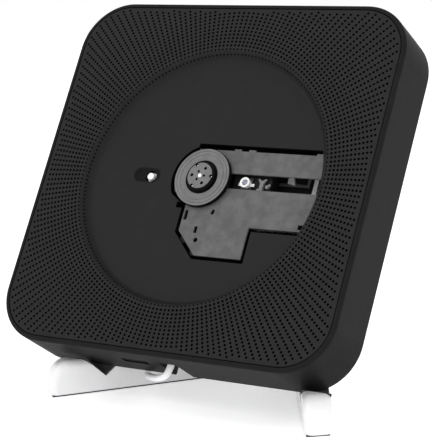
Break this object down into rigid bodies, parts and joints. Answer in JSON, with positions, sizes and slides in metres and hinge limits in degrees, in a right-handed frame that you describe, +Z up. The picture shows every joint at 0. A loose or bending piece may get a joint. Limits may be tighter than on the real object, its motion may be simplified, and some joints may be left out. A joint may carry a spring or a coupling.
{
  "type": "cd player",
  "caption": "Slim rounded-square disc player with a perforated face and open disc recess, leaning back on a white V-shaped stand, with its power lead coiled behind.",
  "frame": {"origin": "on the table, under the middle of the box of the player and its stand without the power cord", "axes": "+X to the player's right, +Y to the back, +Z up; the front leans back 30 degrees from upright"},
  "size_m": [0.18, 0.1285, 0.1823],
  "materials": {
    "black_case": "fine satin",
    "black_face": "satin, perforated with small holes in rays",
    "black_back": "fine grain",
    "black_cloth": "thin open weave",
    "zinc_screw": "zinc plated",
    "circuit_board": "solder mask",
    "black_moulding": "moulded",
    "white_pin": "moulded",
    "deck_grey": "fine mottled texture",
    "soft_black": "matt",
    "soft_grey": "matt",
    "motor_can": "plated",
    "bright_steel": "polished",
    "turntable_grey": "satin",
    "sled_black": "moulded",
    "lens_ring": "moulded",
    "lens_glass": "polished",
    "yoke_metal": "satin",
    "pale_bar": "moulded",
    "ribbon": "flat ribbon",
    "chip_black": "moulded package",
    "capacitor_sleeve": "shrink sleeve",
    "plated_shell": "plated sheet",
    "jack_black": "moulded",
    "plug_black": "moulded",
    "button_black": "satin",
    "basket_steel": "painted",
    "paper_cone": "pressed paper",
    "magnet_plate": "ferrite and plate",
    "white_stand": "smooth white",
    "cord_white": "smooth jacket",
    "tie_black": "hook and loop",
    "plug_white": "moulded"
  },
  "bodies": {
    "stand": {"stand_leg_left": "white_stand", "stand_leg_right": "white_stand", "stand_post": "white_stand", "stand_screws": "zinc_screw", "rest_pad": "soft_black", "base_strips": "soft_black", "notch_liners": "soft_grey", "cord_coil": "cord_white", "cord_tie": "tie_black", "usb_plug": "plug_white"},
    "player": {"housing": "black_case", "front_cover": "black_face", "back_cover": "black_back", "cable_bay": "black_back", "grille_cloth": "black_cloth", "cover_screws": "zinc_screw", "board_screws": "zinc_screw", "deck_screws": "zinc_screw", "button_board": "circuit_board", "main_board": "circuit_board", "tact_switches": "black_moulding", "disc_switch": "black_moulding", "deck_chassis": "black_moulding", "flex_clip": "white_pin", "deck_plate": "deck_grey", "deck_grommets": "soft_black", "speaker_surrounds": "soft_black", "spindle_motor": "motor_can", "sled_motor": "motor_can", "guide_rods": "bright_steel", "cross_brace": "pale_bar", "laser_flex": "ribbon", "main_chips": "chip_black", "capacitors": "capacitor_sleeve", "usb_socket": "plated_shell", "dc_jack": "jack_black", "dc_plug": "plug_black", "speaker_basket_left": "basket_steel", "speaker_basket_right": "basket_steel", "speaker_cone_left": "paper_cone", "speaker_cone_right": "paper_cone", "speaker_magnet_left": "magnet_plate", "speaker_magnet_right": "magnet_plate", "power_cord": "cord_white"},
    "turntable": {"turntable": "turntable_grey", "hub_balls": "bright_steel", "spindle_shaft": "bright_steel"},
    "sled": {"pickup_sled": "sled_black", "magnet_yoke": "yoke_metal", "laser_diode": "yoke_metal"},
    "lens": {"lens_holder": "lens_ring", "lens": "lens_glass"},
    "lead_screw": {"lead_screw": "bright_steel"},
    "disc_pin": {"disc_switch_pin": "white_pin"},
    "power_button": {"power_button": "button_black"},
    "previous_button": {"previous_button": "button_black"},
    "play_button": {"play_button": "button_black"},
    "next_button": {"next_button": "button_black"},
    "volume_button": {"volume_button": "button_black"}
  },
  "joints": [
    {"name": "player_lift", "type": "slide", "parent": "stand", "child": "player", "axis": [0, 0, 1], "range_m": [0, 0.02]},
    {"name": "turntable_spin", "type": "hinge", "parent": "player", "child": "turntable", "pos_m": [0, -0.01567, 0.10344], "axis": [0, -0.866, 0.5], "continuous": true},
    {"name": "pickup_slide", "type": "slide", "parent": "player", "child": "sled", "axis": [1, 0, 0], "range_m": [0, 0.0355]},
    {"name": "lead_screw_spin", "type": "hinge", "parent": "player", "child": "lead_screw", "pos_m": [0.02, -0.01701, 0.08112], "axis": [1, 0, 0], "range_deg": [-5, 4300]},
    {"name": "lens_focus", "type": "slide", "parent": "sled", "child": "lens", "axis": [0, -0.866, 0.5], "range_m": [-0.0004, 0.0004], "stiffness_N_per_m": 40},
    {"name": "disc_pin_press", "type": "slide", "parent": "player", "child": "disc_pin", "axis": [0, 0.866, -0.5], "range_m": [0, 0.0012], "stiffness_N_per_m": 120, "springref_m": -0.0005},
    {"name": "power_button_press", "type": "slide", "parent": "player", "child": "power_button", "axis": [0, -0.5, -0.866], "range_m": [0, 0.0007], "stiffness_N_per_m": 500, "springref_m": -0.0004},
    {"name": "previous_button_press", "type": "slide", "parent": "player", "child": "previous_button", "axis": [0, -0.5, -0.866], "range_m": [0, 0.0007], "stiffness_N_per_m": 500, "springref_m": -0.0004},
    {"name": "play_button_press", "type": "slide", "parent": "player", "child": "play_button", "axis": [0, -0.5, -0.866], "range_m": [0, 0.0007], "stiffness_N_per_m": 500, "springref_m": -0.0004},
    {"name": "next_button_press", "type": "slide", "parent": "player", "child": "next_button", "axis": [0, -0.5, -0.866], "range_m": [0, 0.0007], "stiffness_N_per_m": 500, "springref_m": -0.0004},
    {"name": "volume_button_press", "type": "slide", "parent": "player", "child": "volume_button", "axis": [0, -0.5, -0.866], "range_m": [0, 0.0007], "stiffness_N_per_m": 500, "springref_m": -0.0004}
  ],
  "couplings": [
    {"joint": "lead_screw_spin", "follows": "pickup_slide", "rad_per_m": 2094.4}
  ]
}
